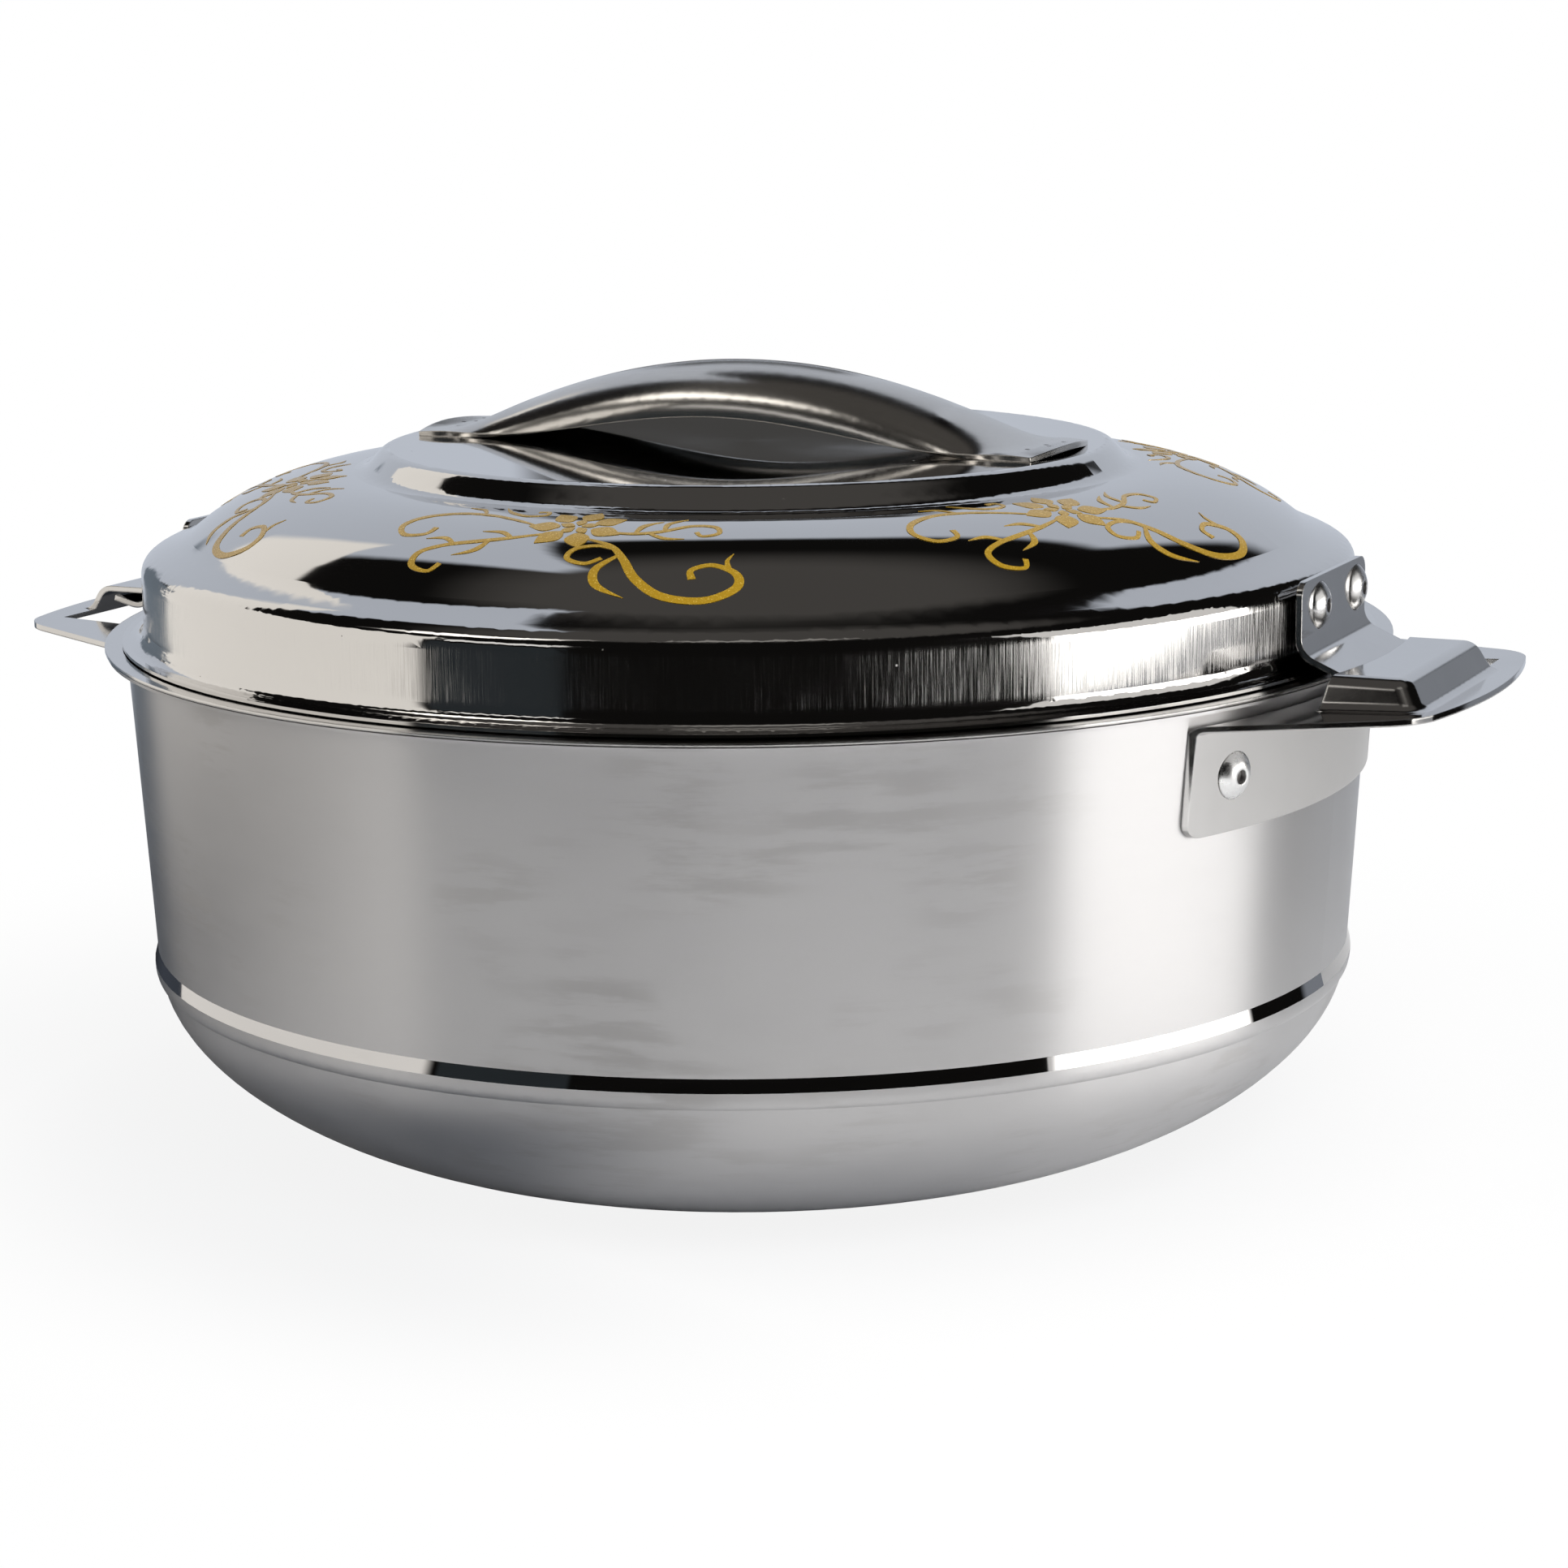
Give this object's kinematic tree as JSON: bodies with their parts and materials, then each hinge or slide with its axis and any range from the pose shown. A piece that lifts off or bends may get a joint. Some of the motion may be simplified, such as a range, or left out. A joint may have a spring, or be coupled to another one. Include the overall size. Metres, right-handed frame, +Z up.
{
  "type": "insulated serving bowl with twist-lock lid",
  "caption": "Round stainless steel insulated serving bowl with a domed twist-lock lid, a strap lid handle, riveted side handles and gold flower ornaments.",
  "frame": {"origin": "Centre of the standing ring on the table, below the middle of the pot.", "axes": "+X runs through the right side handle, +Z is up, and the picture looks from -Y and a little +X."},
  "size_m": [0.312, 0.26, 0.155],
  "materials": {
    "satin_steel": "satin",
    "mirror_steel": "polished",
    "bright_steel": "gloss",
    "rivet_metal": "gloss",
    "dark_steel": "satin",
    "foam": "matte",
    "plug_plastic": "matte"
  },
  "bodies": {
    "pot": {"outer_shell": "satin_steel", "inner_bowl": "satin_steel", "fill_plug": "plug_plastic", "body_insulation": "foam", "right_handle": "bright_steel", "left_handle": "bright_steel", "right_handle_rivets": "rivet_metal", "left_handle_rivets": "rivet_metal", "right_handle_mandrels": "dark_steel", "left_handle_mandrels": "dark_steel"},
    "lid": {"lid_shell": "mirror_steel", "lid_liner": "satin_steel", "lid_insulation": "foam", "lid_handle": "mirror_steel", "right_lock_bracket": "bright_steel", "left_lock_bracket": "bright_steel", "right_bracket_rivets": "rivet_metal", "left_bracket_rivets": "rivet_metal", "right_bracket_mandrels": "dark_steel", "left_bracket_mandrels": "dark_steel"}
  },
  "joints": [
    {"name": "lid_twist", "type": "hinge", "parent": "pot", "child": "lid", "pos_m": [0, 0, 0.1018], "axis": [0, 0, 1], "range_deg": [0, 155]}
  ]
}
